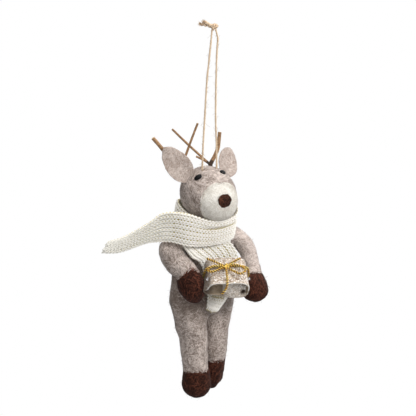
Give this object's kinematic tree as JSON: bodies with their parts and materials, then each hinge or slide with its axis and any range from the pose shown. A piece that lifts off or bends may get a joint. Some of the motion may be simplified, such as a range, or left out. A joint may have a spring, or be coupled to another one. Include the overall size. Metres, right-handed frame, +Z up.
{
  "type": "felt christmas ornament",
  "caption": "Hanging needle-felted reindeer with twig antlers, a knitted scarf and a tied parcel between its hands, on a loop of twine.",
  "frame": {"origin": "top of the hanging loop, right under its knot, where a hook or branch bears", "axes": "+Z up along the loop, the reindeer faces -Y and its own right side is at -X"},
  "size_m": [0.103, 0.0733, 0.2457],
  "materials": {
    "grey_wool": "needle-felted grey-brown wool, matt and hairy",
    "pale_wool": "thick pale grey felt",
    "white_wool": "needle-felted white wool",
    "brown_wool": "needle-felted dark red-brown wool",
    "black_bead": "black, half glossy",
    "bark": "dry twig with its bark",
    "knit": "machine-knitted cream yarn",
    "glitter_sheet": "sheet with champagne glitter",
    "gold_cord": "twisted cord of metallic gold yarn",
    "jute": "plied natural jute, hairy",
    "wire": "plain craft wire",
    "clear_glue": "clear hot glue"
  },
  "bodies": {
    "loop": {"twine_right": "jute", "twine_left": "jute", "twine_knot": "jute"},
    "figure": {"twine_thread": "jute", "head": "grey_wool", "muzzle": "white_wool", "nose": "brown_wool", "eye_right": "black_bead", "eye_left": "black_bead", "ear_right": "pale_wool", "ear_left": "pale_wool", "antler_right": "bark", "antler_left": "bark", "torso": "grey_wool", "leg_right": "grey_wool", "hoof_right": "brown_wool", "leg_left": "grey_wool", "hoof_left": "brown_wool", "arm_right": "grey_wool", "hand_right": "brown_wool", "arm_left": "grey_wool", "hand_left": "brown_wool", "arm_wire": "wire", "leg_wire": "wire", "neck_wire": "wire", "scarf": "knit", "parcel_wrap": "glitter_sheet", "gold_cord": "gold_cord", "glue_right": "clear_glue", "glue_left": "clear_glue"}
  },
  "joints": [
    {"name": "loop_swing", "type": "hinge", "parent": "loop", "child": "figure", "pos_m": [0, 0, -0.087], "axis": [1, 0, 0], "range_deg": [-80, 15]}
  ]
}
